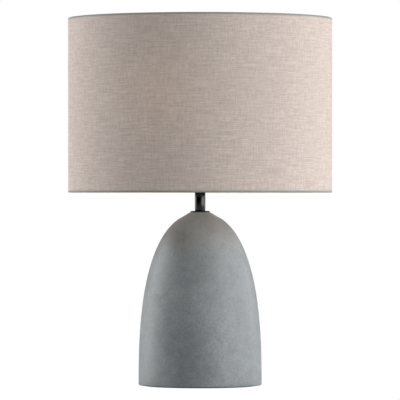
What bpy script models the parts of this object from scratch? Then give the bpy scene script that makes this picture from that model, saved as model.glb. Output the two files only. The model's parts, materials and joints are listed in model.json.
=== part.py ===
"""Table lamp: a hollow cast concrete base, a blackened steel neck, a switched E27 lampholder, an LED bulb and a
linen drum shade on a three-armed wire carrier.

Metres, +Z up. The origin is the centre of the foot, on the table top. The cord inlet and the shade's seam face +Y.
Every piece is its own closed solid, and pieces that touch on the real lamp keep GAP between them here.
"""

import math

import bmesh
import bpy
from mathutils import Matrix, Vector

# Driving dimensions
LAMP_HEIGHT = 0.5571
SHADE_DIAMETER = 0.400
SHADE_HEIGHT = 0.2644
BASE_DIAMETER = 0.1866
BASE_TOP = 0.2630
NECK_DIAMETER = 0.0160
RECESS = 0.0500  # from the shade's lower edge up to the seat of its fitter ring
GAP = 0.0003

# Concrete base
BASE_FOOT = 0.0012  # the concrete stops short of the table, and the felt carries it
CROWN_HEIGHT = 0.26163  # where the dome's curve would close
CROWN_POWER = 2.58
GIRTH_POWER = 2.342
SHOULDER_RADIUS = 0.0267  # above this the dome runs straight up to the flat
FLAT_RADIUS = 0.0154
FOOT_ROUNDING = 0.0020
CAVITY_RADIUS = 0.0785
CAVITY_CROWN = 0.2475
CEILING_RADIUS = 0.0200
RABBET_RADIUS = 0.0840
ROD_HOLE_RADIUS = 0.0055

# Foot
FELT_THICKNESS = 0.0015
PLATE_THICKNESS = 0.0025
PLATE_RADIUS = 0.0836
SCREW_CIRCLE = 0.0765
SCREW_ANGLES = (30, 150, 270)
ANCHOR_LENGTH = 0.0120
BOSS_RADIUS = 0.0075
BOSS_TOP = 0.0300

# Cord inlet
INLET_HEIGHT = 0.0260
INLET_RADIUS = 0.0070
CORD_BORE_RADIUS = 0.0050

# Neck
ROD_RADIUS = 0.0049
ROD_BORE_RADIUS = 0.0040
ROD_BOTTOM = 0.2300
FLANGE_RADIUS = 0.0147
FLANGE_THICKNESS = 0.0014

# Lampholder
CAP_RADIUS = 0.0200
CAP_HEIGHT = 0.0339
CAP_BORE_RADIUS = 0.0178
SKIRT_RADIUS = 0.0196
SKIRT_FLANGE_RADIUS = 0.0220
SKIRT_HEIGHT = 0.0267
SKIRT_BORE_RADIUS = 0.0138
BAR_WIDTH = 0.0072
BAR_HEIGHT = 0.0042
BAR_TRAVEL = 0.0050

# Bulb
BULB_RADIUS = 0.0300
BULB_LENGTH = 0.1082
CAP_SHELL_RADIUS = 0.0131
CAP_SHELL_HEIGHT = 0.0197
BULB_JOIN_RADIUS = 0.0219

# Shade
FABRIC_THICKNESS = 0.0008
LINER_THICKNESS = 0.0006
HEM_HEIGHT = 0.0036  # how far the rolled edge comes back up inside
HEM_DEPTH = 0.0072
HEM_ROLL = 0.0028
HEM_EDGE = 0.0014
WIRE_RADIUS = 0.0018
ARM_RADIUS = 0.0015
ARM_ANGLES = (90, 210, 330)
SHADE_SIDES = 60

# Heights that follow from the sizes above
SHADE_RADIUS = SHADE_DIAMETER / 2
SHADE_BOTTOM = LAMP_HEIGHT - SHADE_HEIGHT
PLATE_BOTTOM = FELT_THICKNESS + GAP
LEDGE = PLATE_BOTTOM + PLATE_THICKNESS + GAP
FLANGE_BOTTOM = BASE_TOP + GAP
NECK_BOTTOM = FLANGE_BOTTOM + FLANGE_THICKNESS + GAP
FITTER_BOTTOM = SHADE_BOTTOM + RECESS
SKIRT_SEAT = 0.0030  # thickness of the skirt's flange
SKIRT_BOTTOM = FITTER_BOTTOM - GAP - SKIRT_SEAT
SKIRT_TOP = SKIRT_BOTTOM + SKIRT_HEIGHT
CAP_BOTTOM = SKIRT_BOTTOM - GAP - CAP_HEIGHT
NECK_WASHER_THICKNESS = 0.0015
NECK_TOP = CAP_BOTTOM - 2 * GAP - NECK_WASHER_THICKNESS
CAP_FLOOR = CAP_BOTTOM + 0.0074
ROD_TOP = CAP_FLOOR + 0.0005
BAR_CENTRE = CAP_BOTTOM + 0.0184
BLOCK_BOTTOM = CAP_BOTTOM + 0.0229
BLOCK_TOP = SKIRT_BOTTOM + 0.0002
BULB_BOTTOM = BLOCK_TOP + 0.0013


def material(name, colour, roughness, metallic=0.0):
    made = bpy.data.materials.new(name)
    made.use_nodes = True
    shader = made.node_tree.nodes["Principled BSDF"]
    shader.inputs["Base Color"].default_value = (*colour, 1.0)
    shader.inputs["Roughness"].default_value = roughness
    shader.inputs["Metallic"].default_value = metallic
    return made


def group(name):
    """An empty that carries the pieces of one moving body. Its origin lies on that body's axis."""
    empty = bpy.data.objects.new(name, None)
    bpy.context.collection.objects.link(empty)
    return empty


def add(name, shape, finish=None, parent=None, place=(0, 0, 0), axis=(0, 0, 1)):
    """Turns a bmesh into a named object whose own +Z lies along axis."""
    bmesh.ops.recalc_face_normals(shape, faces=shape.faces)
    mesh = bpy.data.meshes.new(name)
    shape.to_mesh(mesh)
    shape.free()
    mesh.shade_smooth()
    mesh.set_sharp_from_angle(angle=math.radians(35))
    obj = bpy.data.objects.new(name, mesh)
    bpy.context.collection.objects.link(obj)
    obj.location = place
    obj.rotation_mode = "QUATERNION"
    obj.rotation_quaternion = Vector((0, 0, 1)).rotation_difference(Vector(axis))
    obj.parent = parent
    if finish:
        mesh.materials.append(finish)
    return obj


def turned_shape(outline, sides, ribs=0.0):
    """A solid of revolution about Z. The outline is a loop of (radius, height); ribs lowers every second side's rim."""
    shape = bmesh.new()
    loop = [shape.verts.new((radius, 0, height)) for radius, height in outline]
    pairs = zip(loop, loop[1:] + loop[:1])
    edges = [shape.edges.new(pair) for pair in pairs if pair[0].co.x > 0 or pair[1].co.x > 0]
    bmesh.ops.spin(
        shape,
        geom=loop + edges,
        axis=(0, 0, 1),
        cent=(0, 0, 0),
        angle=math.tau,
        steps=sides,
        use_merge=True,
    )
    bmesh.ops.remove_doubles(shape, verts=shape.verts, dist=1e-6)
    if ribs:
        rim = max(radius for radius, _ in outline)
        for vert in shape.verts:
            flat = Vector((vert.co.x, vert.co.y))
            side = round(math.atan2(flat.y, flat.x) / math.tau * sides)
            if side % 2 and flat.length > rim - 2 * ribs:
                flat = flat.normalized() * (flat.length - ribs)
                vert.co.x, vert.co.y = flat
    return shape


def turned(name, outline, finish, parent, place=(0, 0, 0), axis=(0, 0, 1), sides=32, ribs=0.0):
    return add(name, turned_shape(outline, sides, ribs), finish, parent, place, axis)


def ring_outline(inner, outer, height, edge=0.0):
    """A washer's section, with an optional bevel on its outer edges."""
    if not edge:
        return [(inner, 0), (outer, 0), (outer, height), (inner, height)]
    return [
        (inner, 0),
        (outer - edge, 0),
        (outer, edge),
        (outer, height - edge),
        (outer - edge, height),
        (inner, height),
    ]


def arc(centre, radius, start, end, steps):
    """Points on an arc in the (radius, height) plane, with angles in degrees from the outward direction."""
    points = []
    for step in range(steps + 1):
        angle = math.radians(start + (end - start) * step / steps)
        points.append((centre[0] + radius * math.cos(angle), centre[1] + radius * math.sin(angle)))
    return points


def box_shape(size, centre=(0, 0, 0)):
    shape = bmesh.new()
    bmesh.ops.create_cube(shape, size=1.0, matrix=Matrix.Translation(centre) @ Matrix.Diagonal((*size, 1)))
    return shape


def extruded_shape(outline, thickness):
    """A flat outline of (x, z) points, extruded along Y to both sides of it."""
    shape = bmesh.new()
    face = shape.faces.new([shape.verts.new((x, -thickness / 2, z)) for x, z in outline])
    grown = bmesh.ops.extrude_face_region(shape, geom=[face])["geom"]
    moved = [part for part in grown if isinstance(part, bmesh.types.BMVert)]
    bmesh.ops.translate(shape, verts=moved, vec=(0, thickness, 0))
    return shape


def cross_shape(reach, half_width, depth):
    """A plus sign lying flat, centred on the origin."""
    corners = [(reach, half_width), (half_width, half_width), (half_width, reach)]
    outline = []
    for _ in range(4):
        outline += corners
        corners = [(-z, x) for x, z in corners]
    shape = extruded_shape(outline, depth)
    bmesh.ops.rotate(shape, verts=shape.verts, matrix=Matrix.Rotation(math.pi / 2, 3, "X"))
    return shape


def merge(shapes):
    """Several shapes as one, each still a body of its own."""
    whole = bmesh.new()
    for shape in shapes:
        mesh = bpy.data.meshes.new("merge")
        shape.to_mesh(mesh)
        shape.free()
        whole.from_mesh(mesh)
        bpy.data.meshes.remove(mesh)
    return whole


def around(shape_at, angles, radius):
    """One copy of a shape for each angle, at that radius from the axis."""
    copies = []
    for angle in angles:
        shape = shape_at()
        turn = Matrix.Rotation(math.radians(angle), 4, "Z")
        bmesh.ops.transform(shape, matrix=turn @ Matrix.Translation((radius, 0, 0)), verts=shape.verts)
        copies.append(shape)
    return merge(copies)


def combine(obj, name, shape, operation="DIFFERENCE"):
    """Cuts a shape from an object, or joins it on, with a Boolean modifier and a hidden helper."""
    helper = add(name, shape)
    helper.hide_render = True
    helper.display_type = "WIRE"
    modifier = obj.modifiers.new(name, "BOOLEAN")
    modifier.operation = operation
    modifier.object = helper


def polar(radius, angle, height):
    turn = math.radians(angle)
    return (radius * math.cos(turn), radius * math.sin(turn), height)


def dome_radius(height, radius, crown):
    """The dome's radius at a height: upright at the foot, closing at the crown."""
    return radius * (1 - (height / crown) ** CROWN_POWER) ** (1 / GIRTH_POWER)


def dome_height(at_radius, radius, crown):
    return crown * (1 - (at_radius / radius) ** GIRTH_POWER) ** (1 / CROWN_POWER)


def dome_outline(radius, crown, low, high_radius, steps):
    """Points up the dome, closer together towards the crown where it bends most."""
    top = dome_height(high_radius, radius, crown)
    heights = [low + (top - low) * math.sin(math.pi / 2 * step / steps) for step in range(1, steps + 1)]
    return [(dome_radius(height, radius, crown), height) for height in heights]


def concrete_base(finish, parent):
    radius = BASE_DIAMETER / 2
    fillet_centre = (radius - FOOT_ROUNDING, BASE_FOOT + FOOT_ROUNDING)
    outside = arc(fillet_centre, FOOT_ROUNDING, -90, 0, 3)
    outside += dome_outline(radius, CROWN_HEIGHT, fillet_centre[1], SHOULDER_RADIUS, 11)
    ceiling = dome_height(CEILING_RADIUS, CAVITY_RADIUS, CAVITY_CROWN)
    inside = dome_outline(CAVITY_RADIUS, CAVITY_CROWN, LEDGE, CEILING_RADIUS, 7)
    outline = [(RABBET_RADIUS, BASE_FOOT), *outside, (FLAT_RADIUS, BASE_TOP)]
    outline += [(ROD_HOLE_RADIUS, BASE_TOP), (ROD_HOLE_RADIUS, ceiling), *reversed(inside)]
    outline += [(CAVITY_RADIUS, LEDGE), (RABBET_RADIUS, LEDGE)]
    base = turned("concrete_base", outline, finish, parent, sides=40)

    def boss():
        height = BOSS_TOP - LEDGE - GAP
        return turned_shape([(0, 0), (BOSS_RADIUS, 0), (BOSS_RADIUS, height), (0, height)], 16)

    def anchor_hole():
        radius, height = 0.0035, ANCHOR_LENGTH + 0.0060
        return turned_shape([(0, 0), (radius, 0), (radius, height), (0, height)], 12)

    bosses = around(boss, SCREW_ANGLES, SCREW_CIRCLE)
    bmesh.ops.translate(bosses, verts=bosses.verts, vec=(0, 0, LEDGE + GAP))
    combine(base, "screw_bosses", bosses, "UNION")
    combine(base, "anchor_holes", around(anchor_hole, SCREW_ANGLES, SCREW_CIRCLE))
    inlet = turned_shape([(0, 0.06), (INLET_RADIUS, 0.06), (INLET_RADIUS, 0.11), (0, 0.11)], 20)
    towards_back = Matrix.Translation((0, 0, INLET_HEIGHT)) @ Matrix.Rotation(-math.pi / 2, 4, "X")
    bmesh.ops.transform(inlet, matrix=towards_back, verts=inlet.verts)
    combine(base, "inlet_hole", inlet)


def cord_grommet(finish, parent):
    """A push-in bush: a tube through the wall with a collar outside and a lip inside."""
    inner_face = dome_radius(INLET_HEIGHT, CAVITY_RADIUS, CAVITY_CROWN)
    lip_end = inner_face - 0.0026
    lip = inner_face - 0.0012
    collar = BASE_DIAMETER / 2 + 0.0004
    end = collar + 0.0018
    sleeve = INLET_RADIUS - GAP
    outline = [
        (CORD_BORE_RADIUS, lip_end),
        (0.0071, lip_end),
        (0.0081, lip),
        (sleeve, lip),
        (sleeve, collar),
        (0.0093, collar),
        (0.0093, end - 0.0007),
        (0.0083, end),
        (CORD_BORE_RADIUS, end),
    ]
    turned("cord_grommet", outline, finish, parent, (0, 0, INLET_HEIGHT), (0, 1, 0), sides=20)


def foot(felt, steel, zinc, brass, parent):
    disc = [(0, 0), (PLATE_RADIUS, 0), (PLATE_RADIUS, FELT_THICKNESS), (0, FELT_THICKNESS)]
    pad = turned("felt_pad", disc, felt, parent, sides=40)
    disc = [(0, 0), (PLATE_RADIUS, 0), (PLATE_RADIUS, PLATE_THICKNESS), (0, PLATE_THICKNESS)]
    plate = turned("base_plate", disc, steel, parent, (0, 0, PLATE_BOTTOM), sides=40)
    head_radius, head_height, shank_radius = 0.0035, 0.0018, 0.0016
    screw_bottom = PLATE_BOTTOM + GAP
    shank_top = screw_bottom + 0.0140

    def felt_hole():
        return turned_shape([(0, -0.001), (0.0048, -0.001), (0.0048, 0.003), (0, 0.003)], 16)

    def screw_hole():
        wide, narrow, rise = head_radius + GAP, shank_radius + GAP, screw_bottom + head_height
        low, high = PLATE_BOTTOM - 0.001, LEDGE + 0.001
        cone = [(0, low), (wide, low), (wide, screw_bottom), (narrow, rise), (narrow, high), (0, high)]
        return turned_shape(cone, 16)

    combine(pad, "felt_holes", around(felt_hole, SCREW_ANGLES, SCREW_CIRCLE))
    combine(plate, "screw_holes", around(screw_hole, SCREW_ANGLES, SCREW_CIRCLE))
    for number, angle in enumerate(SCREW_ANGLES, 1):
        outline = [(0, 0), (head_radius, 0), (shank_radius, head_height)]
        outline += [(shank_radius, 0.0125), (0.0004, shank_top - screw_bottom), (0, shank_top - screw_bottom)]
        place = polar(SCREW_CIRCLE, angle, screw_bottom)
        screw = turned(f"plate_screw_{number}", outline, zinc, parent, place, sides=12)
        cross = cross_shape(0.0020, 0.0004, 0.0020)
        bmesh.ops.translate(cross, verts=cross.verts, vec=place)
        combine(screw, f"cross_recess_{number}", cross)
        sleeve = ring_outline(shank_radius + GAP, 0.0035 - GAP, ANCHOR_LENGTH)
        place = polar(SCREW_CIRCLE, angle, LEDGE + 2 * GAP)
        turned(f"screw_anchor_{number}", sleeve, brass, parent, place, sides=12)


def neck(black, zinc, parent):
    ceiling = dome_height(CEILING_RADIUS, CAVITY_RADIUS, CAVITY_CROWN)
    washer_bottom = ceiling - GAP - 0.0015
    nut_height = 0.0040
    nut_bottom = washer_bottom - GAP - nut_height
    clearance = ROD_RADIUS + GAP
    section = ring_outline(clearance, 0.0170, 0.0015)
    turned("clamp_washer", section, zinc, parent, (0, 0, washer_bottom), sides=24)
    hexagon = [(0, 0), (0.0081, 0), (0.0081, nut_height), (0, nut_height)]
    nut = turned("clamp_nut", hexagon, zinc, parent, (0, 0, nut_bottom), sides=6)
    reach = nut_height + 0.001
    bore = turned_shape([(0, -0.001), (clearance, -0.001), (clearance, reach), (0, reach)], 20)
    bmesh.ops.translate(bore, verts=bore.verts, vec=(0, 0, nut_bottom))
    combine(nut, "nut_bore", bore)
    section = ring_outline(ROD_BORE_RADIUS, ROD_RADIUS, ROD_TOP - ROD_BOTTOM, 0.0004)
    turned("threaded_tube", section, zinc, parent, (0, 0, ROD_BOTTOM), sides=20)
    section = ring_outline(clearance, FLANGE_RADIUS, FLANGE_THICKNESS, 0.0004)
    turned("neck_flange", section, black, parent, (0, 0, FLANGE_BOTTOM), sides=32)
    outer = NECK_DIAMETER / 2
    section = ring_outline(outer - 0.0012, outer, NECK_TOP - NECK_BOTTOM, 0.0003)
    turned("neck_tube", section, black, parent, (0, 0, NECK_BOTTOM), sides=32)
    section = ring_outline(clearance, 0.0100, NECK_WASHER_THICKNESS, 0.0003)
    turned("neck_washer", section, black, parent, (0, 0, NECK_TOP + GAP), sides=24)


def holder_cap(plastic, zinc, parent):
    floor = CAP_FLOOR - CAP_BOTTOM
    clearance = ROD_RADIUS + GAP
    outline = [
        (clearance, 0),
        (0.0085, 0),
        (0.0085, 0.0050),
        (0.0150, 0.0086),
        (0.0186, 0.0118),
        (CAP_RADIUS, 0.0158),
        (CAP_RADIUS, CAP_HEIGHT),
        (CAP_BORE_RADIUS, CAP_HEIGHT),
        (CAP_BORE_RADIUS, 0.0160),
        (0.0165, 0.0126),
        (0.0120, floor),
        (clearance, floor),
    ]
    cap = turned("holder_cap", outline, plastic, parent, (0, 0, CAP_BOTTOM), sides=32)
    slot = box_shape((0.06, BAR_WIDTH + 0.0008, BAR_HEIGHT + 0.0008), (0, 0, BAR_CENTRE))
    combine(cap, "bar_slots", slot)
    hole_height = CAP_BOTTOM + 0.0026
    hole = turned_shape([(0, 0.002), (0.0017, 0.002), (0.0017, 0.012), (0, 0.012)], 10)
    towards_back = Matrix.Translation((0, 0, hole_height)) @ Matrix.Rotation(-math.pi / 2, 4, "X")
    bmesh.ops.transform(hole, matrix=towards_back, verts=hole.verts)
    combine(cap, "grub_hole", hole)
    screw = [(0, 0.0054), (0.0010, 0.0054), (0.0014, 0.0058), (0.0014, 0.0084), (0, 0.0084)]
    turned("holder_grub_screw", screw, zinc, parent, (0, 0, hole_height), (0, 1, 0), sides=10)


def contact_block(ceramic, parent):
    height = BLOCK_TOP - BLOCK_BOTTOM
    step = height - 0.0045
    disc_radius = CAP_BORE_RADIUS - 0.0006
    outline = [(0, 0), (disc_radius, 0), (disc_radius, step), (0.0119, step), (0.0119, height), (0, height)]
    turned("contact_block", outline, ceramic, parent, (0, 0, BLOCK_BOTTOM), sides=32)


def contacts(brass, zinc, parent):
    """The bulb's contact springs above the block, and the two wire clamps hanging below it."""
    foot_height = BLOCK_TOP - 0.0045 + GAP
    sheet = 0.0006
    low, high = BLOCK_TOP + GAP, BLOCK_TOP + GAP + sheet
    leg = 0.0119 + GAP
    bent = [(-0.0040, low), (leg, low), (leg, foot_height), (leg + sheet, foot_height)]
    bent += [(leg + sheet, high), (-0.0040, high)]
    add("centre_contact", extruded_shape(bent, 0.0050), brass, parent)
    inside = CAP_SHELL_RADIUS + 0.0004
    for name, side in (("side_contact_front", -1), ("side_contact_back", 1)):
        blade = box_shape((0.0060, sheet, 0.0160), (0, side * (inside + sheet / 2), foot_height + 0.0080))
        add(name, blade, brass, parent)
    for name, side in (("live", -1), ("neutral", 1)):
        across = side * 0.0102
        top = BLOCK_BOTTOM - GAP
        clamp = add(f"terminal_{name}", box_shape((0.0070, 0.0056, 0.0056)), brass, parent)
        clamp.location = (0, across, top - 0.0028)
        hole = turned_shape([(0, -0.0040), (0.0017, -0.0040), (0.0017, 0.0010), (0, 0.0010)], 10)
        bmesh.ops.translate(hole, verts=hole.verts, vec=(0, across, top - 0.0028))
        combine(clamp, f"clamp_hole_{name}", hole)
        screw = [(0, 0), (0.0024, 0), (0.0024, 0.0012), (0.0014, 0.0012), (0.0014, 0.0040), (0, 0.0040)]
        place = (0, across, top - 0.0056 - 0.0012 - GAP)
        turned(f"terminal_screw_{name}", screw, zinc, parent, place, sides=10)


def holder_skirt(plastic, parent):
    chamber, chamber_top = 0.0160, 0.0147
    outline = [
        (chamber, 0),
        (SKIRT_FLANGE_RADIUS - 0.0006, 0),
        (SKIRT_FLANGE_RADIUS, 0.0006),
        (SKIRT_FLANGE_RADIUS, SKIRT_SEAT),
        (SKIRT_RADIUS, SKIRT_SEAT),
        (SKIRT_RADIUS, SKIRT_HEIGHT - 0.0006),
        (SKIRT_RADIUS - 0.0006, SKIRT_HEIGHT),
        (SKIRT_BORE_RADIUS, SKIRT_HEIGHT),
        (SKIRT_BORE_RADIUS, chamber_top),
        (chamber, chamber_top),
    ]
    turned("holder_skirt", outline, plastic, parent, (0, 0, SKIRT_BOTTOM), sides=32)


def switch_bar(plastic, parent):
    """A push-through bar: at rest it stands further out on the left, and it travels to the right."""
    left, right = -CAP_RADIUS - BAR_TRAVEL - 0.0030, CAP_RADIUS + 0.0030
    half, nose = BAR_HEIGHT / 2, 0.0012
    outline = [(left, -half + nose), (left + nose, -half), (right - nose, -half), (right, -half + nose)]
    outline += [(right, half - nose), (right - nose, half), (left + nose, half), (left, half - nose)]
    add("switch_bar", extruded_shape(outline, BAR_WIDTH), plastic, parent, (0, 0, BAR_CENTRE))


def shade_ring(plastic, parent):
    bore = SKIRT_RADIUS + 0.0004
    outline = [
        (bore, 0),
        (0.0268, 0),
        (0.0278, 0.0008),
        (0.0278, 0.0030),
        (0.0268, 0.0038),
        (0.0232, 0.0038),
        (0.0232, 0.0084),
        (bore, 0.0084),
    ]
    height = FITTER_BOTTOM + 0.0020 + GAP
    turned("shade_ring", outline, plastic, parent, (0, 0, height), sides=48, ribs=0.0006)


def rounded_path(corners, radius, steps=4):
    """The corners joined by straight runs, with each inner corner eased over that distance."""
    path = [corners[0]]
    for before, corner, after in zip(corners, corners[1:], corners[2:]):
        start = corner + (before - corner).normalized() * radius
        end = corner + (after - corner).normalized() * radius
        for step in range(steps + 1):
            t = step / steps
            path.append(start * (1 - t) ** 2 + corner * 2 * t * (1 - t) + end * t**2)
    return path + [corners[-1]]


def wire(name, path, radius, finish, parent, turn=0.0):
    """A round wire along a path."""
    curve = bpy.data.curves.new(name, "CURVE")
    curve.dimensions = "3D"
    curve.bevel_depth = radius
    curve.bevel_resolution = 2
    curve.use_fill_caps = True
    spline = curve.splines.new("POLY")
    spline.points.add(len(path) - 1)
    for point, place in zip(spline.points, path):
        point.co = (*place, 1.0)
    curve.materials.append(finish)
    obj = bpy.data.objects.new(name, curve)
    bpy.context.collection.objects.link(obj)
    obj.rotation_euler = (0, 0, math.radians(turn))
    obj.parent = parent


def shade_carrier(steel, parent):
    """The fitter ring, its three arms, and the wire hoops inside the shade's two hems."""
    fitter_height = 0.0020
    section = ring_outline(SKIRT_RADIUS + 0.0007, 0.0270, fitter_height)
    turned("fitter_ring", section, steel, parent, (0, 0, FITTER_BOTTOM), sides=32)
    hoop_radius = SHADE_RADIUS - FABRIC_THICKNESS - LINER_THICKNESS - 2 * GAP - WIRE_RADIUS
    inset = FABRIC_THICKNESS + GAP + WIRE_RADIUS
    hoop_heights = {"bottom_hoop": SHADE_BOTTOM + inset, "top_hoop": LAMP_HEIGHT - inset}
    for name, height in hoop_heights.items():
        section = arc((hoop_radius, 0), WIRE_RADIUS, 0, 300, 5)
        turned(name, section, steel, parent, (0, 0, height), sides=SHADE_SIDES)
    foot_height = hoop_heights["bottom_hoop"] + WIRE_RADIUS + GAP
    arm_height = FITTER_BOTTOM + fitter_height / 2
    corners = [
        Vector((hoop_radius - 0.0006, 0, foot_height)),
        Vector((hoop_radius - 0.0012, 0, foot_height + 0.0110)),
        Vector((0.0520, 0, arm_height)),
        Vector((0.0270 + GAP, 0, arm_height)),
    ]
    for number, angle in enumerate(ARM_ANGLES, 1):
        wire(f"carrier_arm_{number}", rounded_path(corners, 0.0080), ARM_RADIUS, steel, parent, angle)


def hem(inset):
    """The rolled lower edge, from its lip inside the shade round to the wall, that far in from its outside."""
    inner = SHADE_RADIUS - HEM_DEPTH
    roll = arc((inner + HEM_ROLL, HEM_ROLL), HEM_ROLL - inset, 180, 270, 3)
    edge = arc((SHADE_RADIUS - HEM_EDGE, HEM_EDGE), HEM_EDGE - inset, 270, 360, 2)
    return [(inner + inset, HEM_HEIGHT), *roll, *edge]


def shade_cover(linen, lining, parent):
    """The fabric drum, rolled round the hoop at both edges, and the stiff liner behind it."""
    outside, inside = hem(0), hem(FABRIC_THICKNESS)
    outline = outside + [(radius, SHADE_HEIGHT - height) for radius, height in reversed(outside)]
    outline += [(radius, SHADE_HEIGHT - height) for radius, height in inside] + inside[::-1]
    turned("shade_fabric", outline, linen, parent, (0, 0, SHADE_BOTTOM), sides=SHADE_SIDES)
    outer = SHADE_RADIUS - FABRIC_THICKNESS - GAP
    section = ring_outline(outer - LINER_THICKNESS, outer, SHADE_HEIGHT - 2 * HEM_HEIGHT)
    place = (0, 0, SHADE_BOTTOM + HEM_HEIGHT)
    turned("shade_liner", section, lining, parent, place, sides=SHADE_SIDES)


def bulb_base(zinc, black, parent):
    """The tip, the insulating ring and the screw shell of the bulb's E27 cap."""
    outline = [(0, 0), (0.0036, 0), (0.0048, 0.0010), (0.0048, 0.0017), (0, 0.0017)]
    turned("bulb_tip_contact", outline, zinc, parent, (0, 0, BULB_BOTTOM), sides=16)
    outline = [(0, 0), (0.0062, 0), (0.0118, 0.0030), (0.0118, 0.0034), (0, 0.0034)]
    place = (0, 0, BULB_BOTTOM + 0.0017 + GAP)
    turned("bulb_insulator", outline, black, parent, place, sides=24)
    shell_bottom = BULB_BOTTOM + 0.0017 + 0.0034 + 2 * GAP
    inner = CAP_SHELL_RADIUS - 0.0005
    outline = [
        (0.0105, 0),
        (0.0121, 0),
        (CAP_SHELL_RADIUS, 0.0012),
        (CAP_SHELL_RADIUS, CAP_SHELL_HEIGHT),
        (inner, CAP_SHELL_HEIGHT),
        (inner, 0.0014),
        (0.0105, 0.0006),
    ]
    turned("bulb_screw_shell", outline, zinc, parent, (0, 0, shell_bottom), sides=24)
    return shell_bottom


def bulb_globe(housing, opal, board, parent, shell_bottom):
    """The plastic housing with its driver, the LED board across its mouth, and the opal globe over it."""
    wall = 0.0014
    neck_bottom = shell_bottom + 0.0020
    shoulder = shell_bottom + CAP_SHELL_HEIGHT + 0.0006
    centre = BULB_BOTTOM + BULB_LENGTH - BULB_RADIUS
    mouth = centre - math.sqrt(BULB_RADIUS**2 - BULB_JOIN_RADIUS**2)
    neck_radius = CAP_SHELL_RADIUS - 0.0005 - GAP
    outline = [
        (0, neck_bottom),
        (neck_radius, neck_bottom),
        (neck_radius, shoulder),
        (0.0150, shoulder),
        (0.0163, shoulder + 0.0080),
        (0.0188, shoulder + 0.0200),
        (BULB_JOIN_RADIUS, mouth - GAP),
        (BULB_JOIN_RADIUS - wall, mouth - GAP),
        (0.0174, shoulder + 0.0200),
        (0.0149, shoulder + 0.0080),
        (0.0136, shoulder + 0.0014),
        (neck_radius - wall, shoulder - 0.0010),
        (neck_radius - wall, neck_bottom + wall),
        (0, neck_bottom + wall),
    ]
    turned("bulb_housing", outline, housing, parent, sides=24)
    driver = box_shape((0.0180, 0.0012, 0.0380), (0, 0, neck_bottom + wall + GAP + 0.0190))
    add("bulb_driver_board", driver, board, parent)
    board_top = mouth - 0.0010
    radius, thickness = 0.0192, 0.0012
    disc = [(0, 0), (radius, 0), (radius, thickness), (0, thickness)]
    leds = turned("bulb_led_board", disc, board, parent, (0, 0, board_top - thickness), sides=24)
    chips = around(lambda: box_shape((0.0030, 0.0030, 0.0016)), range(0, 360, 45), 0.0130)
    bmesh.ops.translate(chips, verts=chips.verts, vec=(0, 0, board_top))
    combine(leds, "led_chips", chips, "UNION")
    start = -math.degrees(math.asin((centre - mouth) / BULB_RADIUS))
    outside = arc((0, centre), BULB_RADIUS, start, 90, 9)
    inside = arc((0, centre), BULB_RADIUS - wall, 90, start, 9)
    outside[-1], inside[0] = (0, outside[-1][1]), (0, inside[0][1])
    turned("bulb_diffuser", outside + inside, opal, parent, sides=24)


def build():
    for obj in list(bpy.data.objects):
        bpy.data.objects.remove(obj)
    concrete = material("concrete", (0.30, 0.31, 0.32), 0.85)
    black = material("black_nickel", (0.03, 0.03, 0.03), 0.18, 1.0)
    steel = material("painted_steel", (0.75, 0.75, 0.73), 0.40, 0.3)
    zinc = material("zinc_plate", (0.55, 0.55, 0.56), 0.35, 1.0)
    brass = material("brass", (0.72, 0.52, 0.24), 0.30, 1.0)
    felt = material("felt", (0.03, 0.03, 0.03), 0.95)
    rubber = material("grommet_rubber", (0.03, 0.03, 0.03), 0.70)
    plastic = material("holder_plastic", (0.02, 0.02, 0.02), 0.35)
    ceramic = material("contact_ceramic", (0.80, 0.78, 0.72), 0.30)
    linen = material("linen", (0.48, 0.42, 0.37), 0.90)
    lining = material("liner", (0.85, 0.84, 0.81), 0.45)
    housing = material("bulb_plastic", (0.85, 0.85, 0.85), 0.40)
    opal = material("opal", (0.92, 0.91, 0.88), 0.35)
    board = material("circuit_board", (0.80, 0.80, 0.78), 0.50)

    base = group("base")
    foot(felt, steel, zinc, brass, base)
    concrete_base(concrete, base)
    cord_grommet(rubber, base)
    neck(black, zinc, base)
    holder_cap(plastic, zinc, base)
    contact_block(ceramic, base)
    contacts(brass, zinc, base)
    holder_skirt(plastic, base)
    switch_bar(plastic, group("switch"))
    shade_ring(plastic, group("ring"))
    shade = group("shade")
    shade_carrier(steel, shade)
    shade_cover(linen, lining, shade)
    bulb = group("bulb")
    shell_bottom = bulb_base(zinc, plastic, bulb)
    bulb_globe(housing, opal, board, bulb, shell_bottom)


build()
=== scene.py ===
"""The table lamp's looks: finer pieces in place of the CAD nodes, their materials, and the studio."""

import json
import math

import bmesh
import bpy
from mathutils import Matrix, Vector, noise


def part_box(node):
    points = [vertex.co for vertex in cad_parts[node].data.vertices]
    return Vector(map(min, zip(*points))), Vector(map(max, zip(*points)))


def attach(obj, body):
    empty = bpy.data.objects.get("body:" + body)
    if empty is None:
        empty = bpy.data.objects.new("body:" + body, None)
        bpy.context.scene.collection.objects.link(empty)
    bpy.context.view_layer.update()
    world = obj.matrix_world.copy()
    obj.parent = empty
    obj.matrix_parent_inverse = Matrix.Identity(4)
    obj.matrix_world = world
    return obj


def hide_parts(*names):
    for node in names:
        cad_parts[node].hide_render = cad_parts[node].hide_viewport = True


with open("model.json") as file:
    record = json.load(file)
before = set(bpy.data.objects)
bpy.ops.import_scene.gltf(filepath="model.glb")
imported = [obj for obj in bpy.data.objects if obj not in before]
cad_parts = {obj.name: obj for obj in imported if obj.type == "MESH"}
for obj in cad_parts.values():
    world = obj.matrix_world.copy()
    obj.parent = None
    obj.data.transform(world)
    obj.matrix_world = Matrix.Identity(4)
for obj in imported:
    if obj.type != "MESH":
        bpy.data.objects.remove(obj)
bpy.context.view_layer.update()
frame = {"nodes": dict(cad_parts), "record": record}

SHARP = math.radians(38)  # edges that turn more than this stay hard


def extent(node):
    """A round node's radius about the lamp's axis, with its lowest and highest points."""
    low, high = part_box(node)
    return high.x, low.z, high.z


# ---------------------------------------------------------------- materials


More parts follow.
